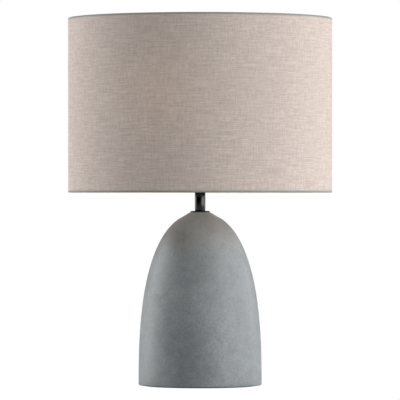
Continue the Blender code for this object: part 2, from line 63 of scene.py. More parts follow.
class Finish:
    """A material with its Principled shader, and short calls that add and wire its nodes."""

    def __init__(self, name, colour, roughness, metallic=0.0, **settings):
        self.material = bpy.data.materials.new(name)
        self.material.use_nodes = True
        self.tree = self.material.node_tree
        self.shader = self.tree.nodes["Principled BSDF"]
        self.set("Base Color", colour)
        self.set("Roughness", roughness)
        self.set("Metallic", metallic)
        for key, value in settings.items():
            self.set(key.replace("_", " "), value)
        self.place = self.tree.nodes.new("ShaderNodeTexCoord").outputs["Object"]
        self.bump_normal = None

    def set(self, key, value):
        """Sets one of the shader's inputs, from a number, a colour or another node's output."""
        self.feed(self.shader.inputs[key], value)

    def feed(self, socket, value):
        if isinstance(value, bpy.types.NodeSocket):
            self.tree.links.new(value, socket)
        elif isinstance(value, tuple) and len(value) == 3 and len(socket.default_value) == 4:
            socket.default_value = (*value, 1.0)
        else:
            socket.default_value = value

    def node(self, kind, inputs, **settings):
        made = self.tree.nodes.new("ShaderNode" + kind)
        for key, value in settings.items():
            setattr(made, key, value)
        for key, value in inputs.items():
            self.feed(made.inputs[key], value)
        return made

    def math(self, operation, first, second=0.0):
        return self.node("Math", {0: first, 1: second}, operation=operation).outputs[0]

    def axis(self, vector, letter):
        return self.node("SeparateXYZ", {0: vector}).outputs[letter]

    def stretched(self, vector, scale):
        return self.node("Mapping", {"Vector": vector, "Scale": scale}).outputs[0]

    def noise(self, vector, scale, detail=3.0, roughness=0.5, distortion=0.0):
        inputs = {"Vector": vector, "Scale": scale, "Detail": detail}
        inputs.update({"Roughness": roughness, "Distortion": distortion})
        return self.node("TexNoise", inputs).outputs[0]

    def cells(self, vector, scale, randomness=1.0):
        inputs = {"Vector": vector, "Scale": scale, "Randomness": randomness}
        return self.node("TexVoronoi", inputs).outputs["Distance"]

    def between(self, value, low, high, start=0.0, end=1.0):
        """Maps low..high to start..end and clamps."""
        inputs = {0: value, 1: low, 2: high, 3: start, 4: end}
        return self.node("MapRange", inputs).outputs[0]

    def spot(self, centre, inner, outer):
        """1 within the inner distance of a point of the object, fading to 0 at the outer."""
        away = self.node("VectorMath", {0: self.place, 1: centre}, operation="DISTANCE").outputs["Value"]
        return self.between(away, inner, outer, 1.0, 0.0)

    def grey(self, value):
        """A colour with the value in all three parts."""
        return self.node("CombineColor", {0: value, 1: value, 2: value}).outputs[0]

    def mix(self, factor, first, second, blend="MIX"):
        made = self.node("Mix", {"Factor": factor}, data_type="RGBA", blend_type=blend)
        self.feed(made.inputs["A"], first)
        self.feed(made.inputs["B"], second)
        return made.outputs["Result"]

    def bump(self, height, distance, strength=1.0):
        """Adds a relief of that many metres, on top of any before it."""
        inputs = {"Height": height, "Distance": distance, "Strength": strength}
        if self.bump_normal:
            inputs["Normal"] = self.bump_normal
        self.bump_normal = self.node("Bump", inputs).outputs[0]
        self.set("Normal", self.bump_normal)


def concrete():
    """Cool grey cast concrete: clouds, fine sand, a few pin-holes with painted shade inside, and painted warm
    bounce light from the shade at the crown.

    A dark, blotched patch of painted shade lies low on the front, and a browner one of painted shade on the
    crown.
    """
    make = Finish("concrete", (0.3, 0.3, 0.3), 0.5, Specular_IOR_Level=0.95)
    clouds = make.between(make.noise(make.place, 13, 4, 0.6, 0.6), 0.3, 0.7)
    patches = make.between(make.noise(make.place, 40, 6, 0.72, 0.8), 0.46, 0.66)
    sand = make.noise(make.place, 620, 2, 0.7)
    colour = make.mix(clouds, (0.208, 0.229, 0.240), (0.276, 0.302, 0.315))
    colour = make.mix(make.math("MULTIPLY", patches, 0.55), colour, (0.165, 0.182, 0.190))
    mottle = make.between(make.noise(make.place, 280, 4, 0.7), 0.33, 0.67, -1.0, 1.0)
    depth = make.between(make.spot((-0.008, -0.085, 0.060), 0.030, 0.080), 0, 1, 0.06, 0.19)
    mottle = make.math("ADD", 1.0, make.math("MULTIPLY", mottle, depth))
    grain = make.math("MULTIPLY", make.between(sand, 0.3, 0.7, 0.82, 1.18), mottle)
    colour = make.mix(1.0, colour, make.grey(grain), "MULTIPLY")
    height = make.axis(make.place, "Z")
    # Painted warm bounce light: the crown turns warm brown towards the top, where light bounced off the shade
    # would fall.
    crown = make.between(height, 0.195, 0.262)
    painted_bounce = make.math("MULTIPLY", crown, make.between(make.noise(make.place, 30, 3), 0.35, 0.75, 0.30, 0.85))
    colour = make.mix(painted_bounce, colour, (0.325, 0.250, 0.188))
    blotches = make.between(make.noise(make.place, 75, 6, 0.75, 0.5), 0.40, 0.60)
    # Painted shade: a dark, blotched patch low on the front deepens the dark band between the lights.
    painted_low_shade = make.spot((-0.020, -0.085, 0.042), 0.016, 0.058)
    painted_low_shade = make.math("MULTIPLY", painted_low_shade, make.between(blotches, 0, 1, 0.25, 0.85))
    colour = make.mix(painted_low_shade, colour, (0.138, 0.154, 0.168))
    # Painted shade: a darker brown patch on the front of the crown, warm like the painted bounce light.
    painted_crown_shade = make.spot((-0.024, -0.048, 0.224), 0.006, 0.034)
    painted_crown_shade = make.math("MULTIPLY", painted_crown_shade, make.between(blotches, 0, 1, 0.25, 0.75))
    colour = make.mix(painted_crown_shade, colour, (0.172, 0.160, 0.142))
    # Pin-holes: their dark colour is painted shade inside them, and the bump below gives their depth.
    holes = make.between(make.cells(make.stretched(make.place, (1, 1, 1.2)), 150), 0.05, 0.13)
    chosen = make.between(make.noise(make.place, 38, 2), 0.50, 0.62)
    holes = make.math("SUBTRACT", 1.0, make.math("MULTIPLY", make.math("SUBTRACT", 1.0, holes), chosen))
    colour = make.mix(holes, (0.12, 0.125, 0.125), colour)
    make.set("Base Color", colour)
    make.set("Roughness", make.between(clouds, 0, 1, 0.50, 0.64))
    make.bump(sand, 0.00010, 0.5)
    make.bump(make.noise(make.place, 90, 4, 0.6), 0.0006, 0.35)
    make.bump(holes, 0.0005, 0.6)
    return make.material


def linen(radius, low, high):
    """A plain weave with thick and thin threads both ways. Its UV map is in metres, round and up the drum.

    radius, low and high are the drum's. At both edges the outer face is painted darker and greyer: painted
    shade along the rolled hems.
    """
    make = Finish("linen", (0.4, 0.35, 0.3), 0.85, Specular_IOR_Level=0.2)
    cloth = make.node("UVMap", {}, uv_map="cloth").outputs[0]
    pitch = 0.00105
    across = make.math("MULTIPLY", make.axis(cloth, "X"), math.pi / pitch)
    along = make.math("MULTIPLY", make.axis(cloth, "Y"), math.pi / pitch)
    warp, weft = make.math("SINE", across), make.math("SINE", along)
    over = make.between(make.math("MULTIPLY", warp, weft), -0.4, 0.4)
    warp, weft = make.math("ABSOLUTE", warp), make.math("ABSOLUTE", weft)
    under = make.math("SUBTRACT", 1.0, over)
    weave = make.math("ADD", make.math("MULTIPLY", warp, over), make.math("MULTIPLY", weft, under))
    weft_slub = make.noise(make.stretched(cloth, (75, 700, 1)), 1, 2, 0.6)
    warp_slub = make.noise(make.stretched(cloth, (700, 90, 1)), 1, 2, 0.6)
    long_weft = make.noise(make.stretched(cloth, (26, 420, 1)), 1, 2, 0.5)
    long_warp = make.noise(make.stretched(cloth, (420, 30, 1)), 1, 2, 0.5)
    long_warp = make.math("MULTIPLY", long_warp, 0.6)
    slubs = make.math("ADD", make.math("ADD", weft_slub, warp_slub), make.math("ADD", long_weft, long_warp))
    slubs = make.between(slubs, 1.44, 2.14)
    colour = make.mix(slubs, (0.556, 0.468, 0.421), (0.782, 0.680, 0.624))
    pale = make.between(weft_slub, 0.62, 0.72)
    colour = make.mix(make.math("MULTIPLY", pale, 0.3), colour, (0.80, 0.76, 0.715))
    dark = make.between(make.noise(make.stretched(cloth, (240, 800, 1)), 1, 1), 0.66, 0.76)
    colour = make.mix(make.math("MULTIPLY", dark, 0.65), colour, (0.30, 0.24, 0.20))
    cloud = make.between(make.noise(cloth, 9, 2), 0.3, 0.7)
    colour = make.mix(make.math("MULTIPLY", cloud, 0.25), colour, (0.624, 0.534, 0.481))
    height = make.axis(make.place, "Z")
    # Painted shade: the outer face is darker and greyer within a few millimetres of both rims.
    to_edge = make.math("MINIMUM", make.math("SUBTRACT", height, low), make.math("SUBTRACT", high, height))
    painted_hem_shade = make.between(to_edge, 0.0010, 0.0042, 1.0, 0.0)
    flat_place = make.stretched(make.place, (1, 1, 0))
    out = make.node("VectorMath", {0: flat_place}, operation="LENGTH").outputs["Value"]
    painted_hem_shade = make.math("MULTIPLY", painted_hem_shade, make.between(out, radius - 0.0030, radius - 0.0012))
    colour = make.mix(painted_hem_shade, colour, (0.31, 0.305, 0.30))
    gaps = make.between(weave, 0.15, 0.75, 0.80, 1.0)
    make.set("Base Color", make.mix(1.0, colour, make.grey(gaps), "MULTIPLY"))
    make.set("Roughness", make.between(slubs, 0, 1, 0.92, 0.78))
    make.bump(weave, 0.00030, 0.6)
    make.bump(slubs, 0.0006, 0.5)
    return make.material


def black_nickel():
    """Glossy black plate with the faintest polishing lines round it."""
    make = Finish("black_nickel", (0.035, 0.035, 0.036), 0.12, 1.0)
    lines = make.noise(make.stretched(make.place, (60, 60, 2500)), 1, 2)
    make.set("Roughness", make.between(lines, 0.3, 0.7, 0.08, 0.15))
    smears = make.between(make.noise(make.place, 90, 3), 0.4, 0.7)
    make.set("Base Color", make.mix(smears, (0.030, 0.030, 0.031), (0.044, 0.043, 0.042)))
    make.bump(lines, 0.00002, 0.25)
    return make.material


def powder_coat():
    """Off-white powder coat with its orange peel."""
    make = Finish("powder_coat", (0.75, 0.75, 0.73), 0.4, Specular_IOR_Level=0.5)
    peel = make.noise(make.place, 900, 2)
    tone = make.between(make.noise(make.place, 70, 3), 0.3, 0.7)
    make.set("Base Color", make.mix(tone, (0.70, 0.70, 0.675), (0.78, 0.78, 0.76)))
    make.set("Roughness", make.between(peel, 0.3, 0.7, 0.34, 0.48))
    make.bump(peel, 0.00012, 0.4)
    return make.material


def plated(name, light, dark, roughness):
    """Plated or bare metal with fine tumbling marks and a slightly uneven shine."""
    make = Finish(name, light, roughness, 1.0)
    marks = make.noise(make.stretched(make.place, (500, 500, 1500)), 1, 3, 0.6)
    patches = make.between(make.noise(make.place, 160, 3), 0.35, 0.7)
    make.set("Base Color", make.mix(patches, light, dark))
    make.set("Roughness", make.between(marks, 0.3, 0.7, roughness - 0.08, roughness + 0.1))
    make.bump(marks, 0.00004, 0.4)
    return make.material


def felt():
    """Pressed black felt: short tangled fibres, and a dusty bloom."""
    make = Finish("felt", (0.03, 0.03, 0.03), 0.95, Specular_IOR_Level=0.1)
    make.set("Sheen Weight", 0.6)
    make.set("Sheen Roughness", 0.6)
    fibres = make.noise(make.place, 1100, 4, 0.75, 2.0)
    tufts = make.noise(make.place, 260, 3, 0.6)
    colour = make.mix(make.between(fibres, 0.35, 0.65), (0.018, 0.018, 0.019), (0.060, 0.059, 0.058))
    make.set("Base Color", make.mix(make.between(tufts, 0.4, 0.8, 0, 0.5), colour, (0.045, 0.044, 0.043)))
    make.bump(fibres, 0.0006, 0.8)
    make.bump(tufts, 0.0006, 0.5)
    return make.material


def moulded(name, colour, roughness, grain=700, relief=0.00006, gloss=0.5):
    """Moulded plastic or rubber: a fine spark-eroded grain, and a slightly mottled tone."""
    make = Finish(name, colour, roughness, Specular_IOR_Level=gloss)
    pores = make.noise(make.place, grain, 2, 0.6)
    tone = make.between(make.noise(make.place, 60, 3), 0.3, 0.7)
    darker = tuple(0.86 * part for part in colour)
    make.set("Base Color", make.mix(tone, darker, colour))
    make.set("Roughness", make.between(pores, 0.3, 0.7, roughness - 0.06, roughness + 0.08))
    make.bump(pores, relief, 0.5)
    return make.material


def liner_sheet():
    """White styrene sheet: satin, with faint rolling streaks."""
    make = Finish("liner_sheet", (0.8, 0.79, 0.76), 0.42, Specular_IOR_Level=0.4)
    streaks = make.noise(make.stretched(make.place, (9, 9, 160)), 1, 3)
    make.set("Base Color", make.mix(make.between(streaks, 0.3, 0.7), (0.77, 0.76, 0.73), (0.83, 0.82, 0.79)))
    make.set("Roughness", make.between(streaks, 0.3, 0.7, 0.36, 0.50))
    make.bump(make.noise(make.place, 1400, 2), 0.00004, 0.4)
    return make.material


def circuit_board(chips_from):
    """White solder mask with yellow phosphor on whatever stands higher than the board's face."""
    make = Finish("circuit_board", (0.8, 0.8, 0.78), 0.4)
    mask = make.between(make.noise(make.place, 300, 2), 0.3, 0.7)
    colour = make.mix(mask, (0.74, 0.74, 0.71), (0.82, 0.82, 0.80))
    chip = make.math("GREATER_THAN", make.axis(make.place, "Z"), chips_from)
    make.set("Base Color", make.mix(chip, colour, (0.85, 0.62, 0.12)))
    make.bump(make.noise(make.place, 900, 2), 0.00005, 0.4)
    return make.material


FINISHES = {
    "concrete": concrete(),
    "black_nickel": black_nickel(),
    "painted_steel": powder_coat(),
    "zinc_plate": plated("zinc", (0.60, 0.60, 0.61), (0.48, 0.48, 0.50), 0.30),
    "brass": plated("brass", (0.75, 0.55, 0.26), (0.58, 0.41, 0.18), 0.28),
    "felt": felt(),
    "grommet_rubber": moulded("rubber", (0.030, 0.030, 0.030), 0.62, 900, 0.00008, 0.35),
    "holder_plastic": moulded("holder_plastic", (0.022, 0.022, 0.023), 0.36),
    "contact_ceramic": moulded("ceramic", (0.80, 0.78, 0.72), 0.22, 260, 0.00008),
    "linen": linen(*extent("shade_fabric")),
    "liner": liner_sheet(),
    "bulb_plastic": moulded("bulb_plastic", (0.80, 0.80, 0.79), 0.38),
    "opal": moulded("opal", (0.86, 0.85, 0.82), 0.28, 1200, 0.00002),
    "circuit_board": circuit_board(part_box("bulb_led_board")[1].z - 0.0004),
}

for part in frame["record"]["subparts"]:
    node = frame["nodes"][part["node"]]
    node.data.materials.clear()
    node.data.materials.append(FINISHES[part["material_slot"]])


# ------------------------------------------------------------------- shapes


def add(name, shape, slot, body, stands_for=(), bevel=0.0, place=(0, 0, 0), turn=None):
    """Makes a piece from a bmesh, with its finish, its body and the CAD nodes that it stands for."""
    mesh = bpy.data.meshes.new(name)
    shape.to_mesh(mesh)
    shape.free()
    mesh.shade_smooth()
    mesh.set_sharp_from_angle(angle=SHARP)
    mesh.materials.append(FINISHES[slot])
    obj = bpy.data.objects.new(name, mesh)
    bpy.context.collection.objects.link(obj)
    if turn:
        mesh.transform(turn.to_4x4())
    mesh.transform(Matrix.Translation(place))
    if bevel:
        rounding = obj.modifiers.new("rounding", "BEVEL")
        rounding.width = bevel
        rounding.segments = 3
        rounding.limit_method = "ANGLE"
        rounding.angle_limit = SHARP
    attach(obj, body)
    if stands_for:
        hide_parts(*stands_for)
    return obj


def turned(outline, sides=96, change=None):
    """A closed solid of revolution. change moves each (radius, height, angle) before it is placed.

    sides is how many sides it has, or the list of its angles.
    """
    angles = sides if isinstance(sides, list) else [math.tau * step / sides for step in range(sides)]
    shape = bmesh.new()
    cloth = shape.loops.layers.uv.new("cloth")
    lengths = [0.0]
    for (radius, height), (radius_after, height_after) in zip(outline, outline[1:] + outline[:1]):
        lengths.append(lengths[-1] + math.hypot(radius_after - radius, height_after - height))
    widest = max(radius for radius, _ in outline)
    rings = []
    for angle in angles:
        ring = []
        for radius, height in outline:
            if change:
                radius, height = change(radius, height, angle)
            ring.append(shape.verts.new((radius * math.cos(angle), radius * math.sin(angle), height)))
        rings.append(ring)
    ends = angles[1:] + [angles[0] + math.tau]
    for ring, after, left, right in zip(rings, rings[1:] + rings[:1], angles, ends):
        left, right = widest * left, widest * right
        for low in range(len(outline)):
            high = (low + 1) % len(outline)
            if outline[low][0] < 1e-6 and outline[high][0] < 1e-6:
                continue
            face = shape.faces.new((ring[low], after[low], after[high], ring[high]))
            below, above = lengths[low], lengths[low + 1]
            corners = [(left, below), (right, below), (right, above), (left, above)]
            for loop, corner in zip(face.loops, corners):
                loop[cloth].uv = corner
    bmesh.ops.remove_doubles(shape, verts=shape.verts, dist=1e-7)
    bmesh.ops.recalc_face_normals(shape, faces=shape.faces)
    return shape


def arc(centre, radius, start, end, steps):
    """Points on a circle from the angle start to the angle end, in degrees."""
    points = []
    for step in range(steps + 1):
        angle = math.radians(start + (end - start) * step / steps)
        points.append((centre[0] + radius * math.cos(angle), centre[1] + radius * math.sin(angle)))
    return points


def run(start, end, steps):
    """Points from start to end, both included."""
    return [tuple(Vector(start).lerp(Vector(end), step / steps)) for step in range(steps + 1)]


def cylinder(radius, low, high, sides=48):
    return turned([(0, low), (radius, low), (radius, high), (0, high)], sides)


def block(size, centre=(0, 0, 0)):
    shape = bmesh.new()
    matrix = Matrix.Translation(centre) @ Matrix.Diagonal((*size, 1))
    bmesh.ops.create_cube(shape, size=1.0, matrix=matrix)
    return shape


def cross(reach, half_width, low, high):
    """An upright bar with a plus-shaped section."""
    section = []
    for quarter in range(4):
        turn = Matrix.Rotation(quarter * math.pi / 2, 2)
        for corner in ((reach, -half_width), (reach, half_width), (half_width, half_width)):
            section.append(turn @ Vector(corner))
    shape = bmesh.new()
    bottom = [shape.verts.new((*corner, low)) for corner in section]
    top = [shape.verts.new((*corner, high)) for corner in section]
    shape.faces.new(bottom)
    shape.faces.new(top)
    for number in range(12):
        after = (number + 1) % 12
        shape.faces.new((bottom[number], bottom[after], top[after], top[number]))
    bmesh.ops.recalc_face_normals(shape, faces=shape.faces)
    return shape


def cut(obj, shape, place=(0, 0, 0), turn=None):
    """Cuts a shape from a piece and keeps only the result."""
    mesh = bpy.data.meshes.new("cutter")
    if turn:
        bmesh.ops.transform(shape, matrix=turn.to_4x4(), verts=shape.verts)
    bmesh.ops.translate(shape, vec=place, verts=shape.verts)
    shape.to_mesh(mesh)
    shape.free()
    cutter = bpy.data.objects.new("cutter", mesh)
    bpy.context.collection.objects.link(cutter)
    modifier = obj.modifiers.new("cut", "BOOLEAN")
    modifier.object = cutter
    modifier.solver = "EXACT"
    while obj.modifiers[0] != modifier:
        obj.modifiers.move(len(obj.modifiers) - 1, 0)
    bpy.context.view_layer.update()
    others = [other for other in obj.modifiers if other != modifier]
    for other in others:
        other.show_viewport = False
    evaluated = obj.evaluated_get(bpy.context.evaluated_depsgraph_get())
    result = bpy.data.meshes.new_from_object(evaluated)
    obj.modifiers.remove(modifier)
    for other in others:
        other.show_viewport = True
    obj.data = result
    bpy.data.objects.remove(cutter)
    result.set_sharp_from_angle(angle=SHARP)


def tube(path, radius, sides=16):
    """A round wire along points, closed at both ends with small domes."""
    shape = bmesh.new()
    rings = []
    points = [Vector(point) for point in path]
    side = Vector((0, 0, 1)).cross(points[1] - points[0])
    side = side.normalized() if side.length > 1e-9 else Vector((0, 1, 0))
    for number, point in enumerate(points):
        before, after = points[max(number - 1, 0)], points[min(number + 1, len(points) - 1)]
        along = (after - before).normalized()
        side = (side - along * side.dot(along)).normalized()
        up = along.cross(side)
        ends = [(0, 1.0)]
        if number == 0:
            ends = [(-0.9, 0.35), (-0.5, 0.8), (0, 1.0)]
        if number == len(points) - 1:
            ends = [(0, 1.0), (0.5, 0.8), (0.9, 0.35)]
        for shift, scale in ends:
            ring = []
            for step in range(sides):
                angle = math.tau * step / sides
                offset = (side * math.cos(angle) + up * math.sin(angle)) * radius * scale
                ring.append(shape.verts.new(point + along * radius * 0.6 * shift + offset))
            rings.append(ring)
    for ring, after in zip(rings, rings[1:]):
        for step in range(sides):
            following = (step + 1) % sides
            shape.faces.new((ring[step], ring[following], after[following], after[step]))
    shape.faces.new(reversed(rings[0]))
    shape.faces.new(rings[-1])
    bmesh.ops.recalc_face_normals(shape, faces=shape.faces)
    return shape


def rounded_path(corners, radius, steps=8):
    """The points of a bent wire, with each corner rounded from that distance before it."""
    path = [corners[0]]
    for before, corner, after in zip(corners, corners[1:], corners[2:]):
        start = corner + (before - corner).normalized() * radius
        end = corner + (after - corner).normalized() * radius
        for step in range(steps + 1):
            t = step / steps
            path.append(start * (1 - t) ** 2 + corner * 2 * t * (1 - t) + end * t**2)
    return path + [corners[-1]]


def thread(pitch, depth, low, high, outer):
    """A change for turned(): a right-handed thread cut into the outer radius, easing in and out."""

    def change(radius, height, angle):
        if radius < outer - 1e-5 or not low < height < high:
            return radius, height
        ease = min(1.0, (height - low) / pitch, (high - height) / pitch)
        turn = (height / pitch - angle / math.tau) % 1.0
        return radius - depth * ease * (0.5 - 0.5 * math.cos(math.tau * turn)), height

    return change


TO_BACK = Matrix.Rotation(-math.pi / 2, 3, "X")


# --------------------------------------------------------------------- base

# The bullet shape: (height / DOME_CROWN) ** DOME_POWER + (radius / widest) ** GIRTH_POWER = 1.
DOME_CROWN = 0.26163
DOME_POWER = 2.58
GIRTH_POWER = 2.342
TUBE_BORE = 0.0040
TUBE_HOLE = 0.0052  # in whatever the threaded tube goes through
SCREW_HOLE = 0.0048
SCREW_PLACES = [(0.0765, math.radians(angle)) for angle in (30, 150, 270)]


def dome(radius, crown, low, high_radius, steps):
    """The bullet shape's outline above low, up to where it is only high_radius wide."""
    top = crown * (1 - (high_radius / radius) ** GIRTH_POWER) ** (1 / DOME_POWER)
    heights = [low + (top - low) * math.sin(math.pi / 2 * step / steps) for step in range(1, steps + 1)]
    slimmer = [(1 - (height / crown) ** DOME_POWER) ** (1 / GIRTH_POWER) for height in heights]
    return [(radius * share, height) for share, height in zip(slimmer, heights)]


def casting():
    """The concrete body with its hollow, its rounded foot and the crown's flat."""
    radius, foot, top = extent("concrete_base")
    ledge = extent("base_plate")[2] + 0.0003
    edge = 0.0020
    outline = arc((radius - edge, foot + edge), edge, -90, 0, 8)
    outline += dome(radius, DOME_CROWN, foot + edge, 0.0262, 64)
    outline += [(0.0168, top - 0.0009), (0.0159, top - 0.0003), (0.0150, top)]
    outline += [(0.0055, top), (0.0055, extent("clamp_washer")[2] + 0.0003)]
    wide, hollow_crown, recess = 0.0785, 0.2475, 0.0840
    hollow = dome(wide, hollow_crown, ledge, 0.0200, 24)
    outline += [*reversed(hollow), (wide, ledge), (recess, ledge), (recess, foot)]

    def uneven(at_radius, height, angle):
        """Hand-poured concrete isn't quite round."""
        if at_radius < 0.0195 or height < foot + 0.001:
            return at_radius, height
        spot = Vector((math.cos(angle), math.sin(angle), height * 9)) * 1.7
        return at_radius + 0.00018 * noise.noise(spot), height

    obj = add("base_casting", turned(outline, 192, uneven), "concrete", "base", ["concrete_base"])
    inlet_low, inlet_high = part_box("cord_grommet")
    height = (inlet_low.z + inlet_high.z) / 2
    cut(obj, cylinder(0.0070, 0.060, 0.110), (0, 0, height), TO_BACK)


def boss(number, radius, angle):
    """A post cast against the wall, with the hole for one screw anchor."""
    ledge = extent("base_plate")[2] + 0.0006
    spot = Vector((radius * math.cos(angle), radius * math.sin(angle), 0))
    bore, post, hole_top, post_top = 0.0035, 0.0072, 0.0226, 0.0300
    outline = [(bore, ledge), (post, ledge), (post, post_top - 0.0010), (post - 0.0010, post_top)]
    outline += [(0, post_top), (0, hole_top), (bore, hole_top)]
    add(f"screw_boss_{number}", turned(outline, 40), "concrete", "base", (), 0.0, spot)


def foot():
    radius, low, high = extent("felt_pad")
    outline = [(0, low), *arc((radius - 0.0007, low + 0.0007), 0.0007, -90, 0, 4)]
    outline += [*arc((radius - 0.0006, high - 0.0006), 0.0006, 0, 90, 4), (0, high)]
    pad = add("felt_disc", turned(outline, 160), "felt", "base", ["felt_pad"])
    for spot, angle in SCREW_PLACES:
        place = (spot * math.cos(angle), spot * math.sin(angle), 0)
        cut(pad, cylinder(SCREW_HOLE, low - 0.001, high + 0.001, 32), place)
    for number, (spot, angle) in enumerate(SCREW_PLACES, 1):
        boss(number, spot, angle)
        screw(number, (spot * math.cos(angle), spot * math.sin(angle), 0))


def screw(number, place):
    """A countersunk wood screw, head down, with a cross recess and a rolled thread."""
    low, high = (corner.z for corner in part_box(f"plate_screw_{number}"))
    head, shank = 0.0035, 0.0016
    outline = [(0, low), (head - 0.0002, low), (head, low + 0.00025), (shank, low + 0.0018)]
    outline += run((shank, low + 0.0028), (shank, high - 0.0016), 60)
    outline += [(0.0004, high), (0, high)]
    change = thread(0.0013, 0.0004, low + 0.0028, high - 0.0010, shank)
    shape = turned(outline, 32, change)
    obj = add(f"foot_screw_{number}", shape, "zinc_plate", "base", [f"plate_screw_{number}"])
    cut(obj, cross(0.0019, 0.00035, low - 0.0008, low + 0.0008))
    obj.data.transform(Matrix.Translation(place))


def grommet():
    low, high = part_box("cord_grommet")
    centre = (0, 0, (low.z + high.z) / 2)
    bore, sleeve, collar = 0.0050, 0.0067, 0.0093
    collar_start = high.y - 0.0018
    outline = [(bore, low.y + 0.0004), (bore + 0.0004, low.y), (0.0071, low.y), (0.0081, low.y + 0.0014)]
    outline += [(sleeve, low.y + 0.0014), (sleeve, collar_start), (collar - 0.0003, collar_start)]
    outline += arc((collar - 0.0007, collar_start + 0.0008), 0.0007, -60, 60, 5)
    outline += arc((bore + 0.0012, high.y - 0.0010), 0.0010, 90, 180, 5)
    add("cord_bush", turned(outline, 64), "grommet_rubber", "base", ["cord_grommet"], 0.0, centre, TO_BACK)


def neck():
    """The black tube on its disc, with the washer that closes it at the top."""
    radius = extent("neck_flange")[0]
    gap = 0.00004
    low, high = extent("concrete_base")[2] + gap, extent("neck_tube")[1] - gap
    edge = (high - low) / 2
    outline = [(TUBE_HOLE, low), (radius - edge, low)]
    outline += [*arc((radius - edge, low + edge), edge, -90, 90, 8), (TUBE_HOLE, high)]
    add("neck_disc", turned(outline, 128), "black_nickel", "base", ["neck_flange"])
    radius, low, high = extent("neck_tube")
    inner = radius - 0.0012
    outline = [(inner, low), *arc((radius - 0.0003, low + 0.0003), 0.0003, -90, 0, 3)]
    outline += [*arc((radius - 0.0003, high - 0.0003), 0.0003, 0, 90, 3), (inner, high)]
    add("neck_pipe", turned(outline, 128), "black_nickel", "base", ["neck_tube"])
    radius, low, high = extent("neck_washer")
    outline = [(TUBE_HOLE, low), (radius, low), (radius, high), (TUBE_HOLE, high)]
    add("neck_cap_washer", turned(outline, 96), "black_nickel", "base", ["neck_washer"], 0.0004)
    radius, low, high = extent("threaded_tube")
    outline = [(TUBE_BORE, low), (radius - 0.0004, low)]
    outline += run((radius, low + 0.0004), (radius, high - 0.0004), 8 * 81)
    outline += [(radius - 0.0004, high), (TUBE_BORE, high)]
    change = thread(0.0010, 0.0005, low, high, radius)
    add("thread_rod", turned(outline, 24, change), "zinc_plate", "base", ["threaded_tube"])


# --------------------------------------------------------------- lampholder


def holder():
    radius, low, high = extent("holder_cap")
    outline = [(TUBE_HOLE, low), (0.0085, low), (0.0085, low + 0.0048)]
    outline += [(0.0098, low + 0.0056), (0.0128, low + 0.0072), (0.0156, low + 0.0090)]
    outline += [(0.0178, low + 0.0110), (0.0192, low + 0.0132), (radius, low + 0.0160)]
    for groove in (high - 0.0060, high - 0.0040):
        outline += [(radius, groove - 0.0004), (radius - 0.0004, groove), (radius, groove + 0.0004)]
    outline += [(radius, high), (0.0178, high), (0.0178, low + 0.0160), (0.0165, low + 0.0126)]
    outline += [(0.0120, low + 0.0074), (TUBE_HOLE, low + 0.0074)]
    cap = add("holder_shell", turned(outline, 128), "holder_plastic", "base", ["holder_cap"], 0.0003)
    bar_low, bar_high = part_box("switch_bar")
    size = bar_high - bar_low + Vector((0.02, 0.0008, 0.0008))
    cut(cap, block(size, (0, 0, (bar_low.z + bar_high.z) / 2)))
    screw_low, screw_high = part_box("holder_grub_screw")
    height = (screw_low.z + screw_high.z) / 2
    cut(cap, cylinder(0.0017, 0.002, 0.012, 24), (0, 0, height), TO_BACK)
    tip, end = screw_low.y, screw_high.y
    outline = [(0, tip), (0.0010, tip), (0.0014, tip + 0.0004)]
    outline += [(0.0014, end - 0.0002), (0.0012, end), (0, end)]
    shape, place = turned(outline, 32), (0, 0, height)
    grub = add("grub_screw", shape, "zinc_plate", "base", ["holder_grub_screw"], 0.0, place, TO_BACK)
    cut(grub, block((0.0032, 0.0012, 0.0005), (0, end, height)))

    radius, low, high = extent("holder_skirt")
    tube_radius, seat = 0.0196, low + 0.0030
    outline = [(0.0160, low), (radius - 0.0006, low), (radius, low + 0.0006), (radius, seat - 0.0004)]
    outline += [(radius - 0.0004, seat), (tube_radius + 0.0003, seat), (tube_radius, seat + 0.0003)]
    outline += run((tube_radius, seat + 0.0010), (tube_radius, high - 0.0010), 96)
    outline += [(tube_radius - 0.0006, high), (0.0143, high), (0.0138, high - 0.0005), (0.0138, low + 0.0147)]
    outline += [(0.0160, low + 0.0147)]
    change = thread(0.0025, 0.0007, seat + 0.0010, high - 0.0010, tube_radius)
    add("holder_sleeve", turned(outline, 128, change), "holder_plastic", "base", ["holder_skirt"])

    low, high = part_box("switch_bar")
    bar = block(high - low, (low + high) / 2)
    add("push_bar", bar, "holder_plastic", "switch", ["switch_bar"], 0.0011)


RIBS = 36


def ring_nut():
    """The ribbed ring that clamps the shade: finger ribs round its rim, and a plain collar above."""
    radius, low, high = extent("shade_ring")
    bore = 0.0200
    outline = [(bore, low), (radius - 0.0010, low), (radius, low + 0.0009), (radius, low + 0.0029)]
    outline += [(radius - 0.0010, low + 0.0038), (0.0234, low + 0.0038), (0.0232, low + 0.0042)]
    outline += [(0.0232, high - 0.0005), (0.0227, high), (bore + 0.0004, high), (bore, high - 0.0004)]

    def ribs(at_radius, height, angle):
        if at_radius < radius - 0.0012:
            return at_radius, height
        return at_radius - 0.0007 * (0.5 - 0.5 * math.cos(RIBS * angle)) ** 2, height

    add("ring_nut", turned(outline, 12 * RIBS, ribs), "holder_plastic", "ring", ["shade_ring"])


# -------------------------------------------------------------------- shade

ARM_ANGLES = (90, 210, 330)
SEAM = math.pi / 2
LAP = 0.012
LAP_STEP = 0.0006


